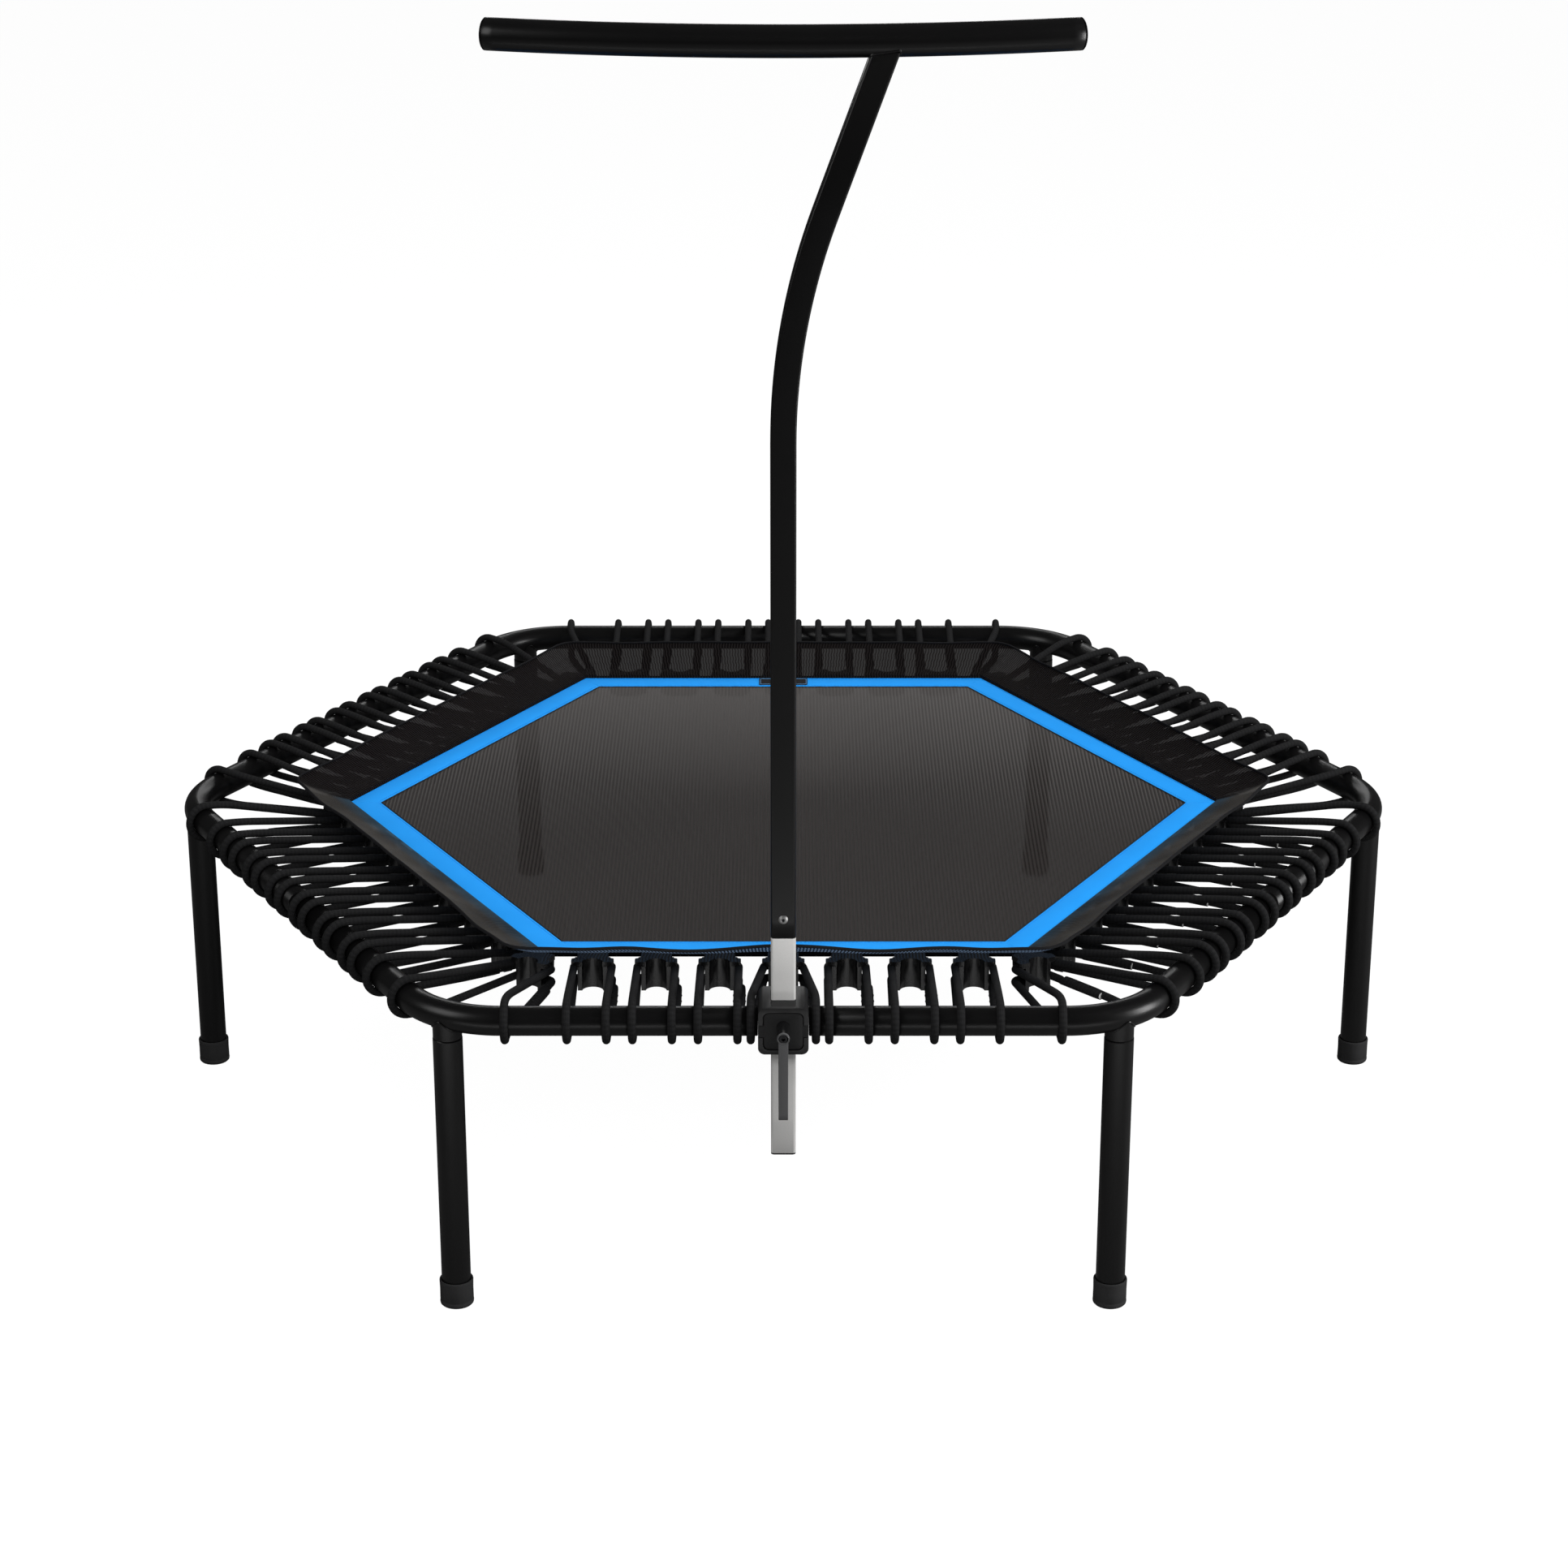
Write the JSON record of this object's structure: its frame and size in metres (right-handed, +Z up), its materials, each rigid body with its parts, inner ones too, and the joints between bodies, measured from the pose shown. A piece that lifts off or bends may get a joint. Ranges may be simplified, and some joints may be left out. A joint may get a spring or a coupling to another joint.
{
  "type": "mini trampoline",
  "caption": "Hexagonal mini trampoline with a bungee-hung jump mat, screw-in legs and a height-adjustable T-shaped handle held by a clamp lever.",
  "frame": {"origin": "centre of the jump mat's top surface, 0.3115 m above the floor", "axes": "+Z up, the handle stands on the -Y side, two frame corners lie on the X axis"},
  "size_m": [1.3198, 1.2176, 1.2501],
  "materials": {
    "black_paint": "satin black powder coat",
    "silver_paint": "satin silver powder coat",
    "steel": "zinc plated",
    "black_plastic": "moulded black",
    "lever_grey": "dark grey textured coat",
    "rubber": "matte dark grey",
    "cord": "charcoal braided sheath over rubber",
    "mat_mesh": "woven open mesh, dark brown-grey",
    "band_blue": "sky blue webbing",
    "skirt_mesh": "fine black see-through mesh",
    "hem_fabric": "dark grey binding",
    "label_fabric": "plain black woven patch"
  },
  "bodies": {
    "frame": {"frame_section_left": "black_paint", "frame_section_right": "black_paint", "frame_tube_front_left": "black_paint", "frame_tube_front_right": "black_paint", "frame_spigot_left": "steel", "frame_spigot_back": "steel", "frame_spigot_right": "steel", "leg_right": "black_paint", "leg_back_right": "black_paint", "leg_back_left": "black_paint", "leg_left": "black_paint", "leg_front_left": "black_paint", "leg_front_right": "black_paint", "leg_stud_right": "steel", "leg_stud_back_right": "steel", "leg_stud_back_left": "steel", "leg_stud_left": "steel", "leg_stud_front_left": "steel", "leg_stud_front_right": "steel", "foot_right": "rubber", "foot_back_right": "rubber", "foot_back_left": "rubber", "foot_left": "rubber", "foot_front_left": "rubber", "foot_front_right": "rubber", "clamp_housing": "black_paint", "housing_front_cap": "black_plastic", "nut_insert": "steel", "bungee_row_right_back": "cord", "bungee_row_back": "cord", "bungee_row_left_back": "cord", "bungee_row_left_front": "cord", "bungee_row_front": "cord", "bungee_row_right_front": "cord"},
    "mat": {"jump_mat": "mat_mesh", "mat_band": "band_blue", "mat_skirt": "skirt_mesh", "skirt_hem": "hem_fabric", "woven_label": "label_fabric", "clip_row_right_back": "black_plastic", "clip_row_back": "black_plastic", "clip_row_left_back": "black_plastic", "clip_row_left_front": "black_plastic", "clip_row_front": "black_plastic", "clip_row_right_front": "black_plastic"},
    "handle": {"post_lower": "silver_paint", "post_bottom_plug": "black_plastic", "post_upper": "black_paint", "post_spigot": "steel", "post_bolt": "steel", "handlebar": "black_paint", "bar_plug_left": "black_plastic", "bar_plug_right": "black_plastic"},
    "clamp_shoe": {"pressure_shoe": "steel"},
    "clamp_stud": {"lever_stud": "steel", "lever_screw": "steel", "lever_spring": "steel"},
    "lever": {"lever_handle": "lever_grey"}
  },
  "joints": [
    {"name": "mat_bounce", "type": "slide", "parent": "frame", "child": "mat", "axis": [0, 0, 1], "range_m": [-0.18, 0.02], "stiffness_N_per_m": 8000, "springref_m": 0.0014, "deforming": ["bungee_row_right_back", "bungee_row_back", "bungee_row_left_back", "bungee_row_left_front", "bungee_row_front", "bungee_row_right_front"]},
    {"name": "handle_height", "type": "slide", "parent": "frame", "child": "handle", "axis": [0, 0, 1], "range_m": [-0.055, 0.1]},
    {"name": "shoe_slide", "type": "slide", "parent": "frame", "child": "clamp_shoe", "axis": [0, -1, 0], "range_m": [0, 0.001]},
    {"name": "lever_turn", "type": "hinge", "parent": "clamp_shoe", "child": "clamp_stud", "pos_m": [0, -0.59615, 0.0047], "axis": [0, -1, 0], "range_deg": [0, 270]},
    {"name": "lever_pull", "type": "slide", "parent": "clamp_stud", "child": "lever", "axis": [0, -1, 0], "range_m": [0, 0.004], "stiffness_N_per_m": 1200, "springref_m": -0.003, "deforming": ["lever_spring"]}
  ],
  "couplings": [
    {"joint": "shoe_slide", "follows": "lever_turn", "m_per_rad": 0.00019894}
  ]
}
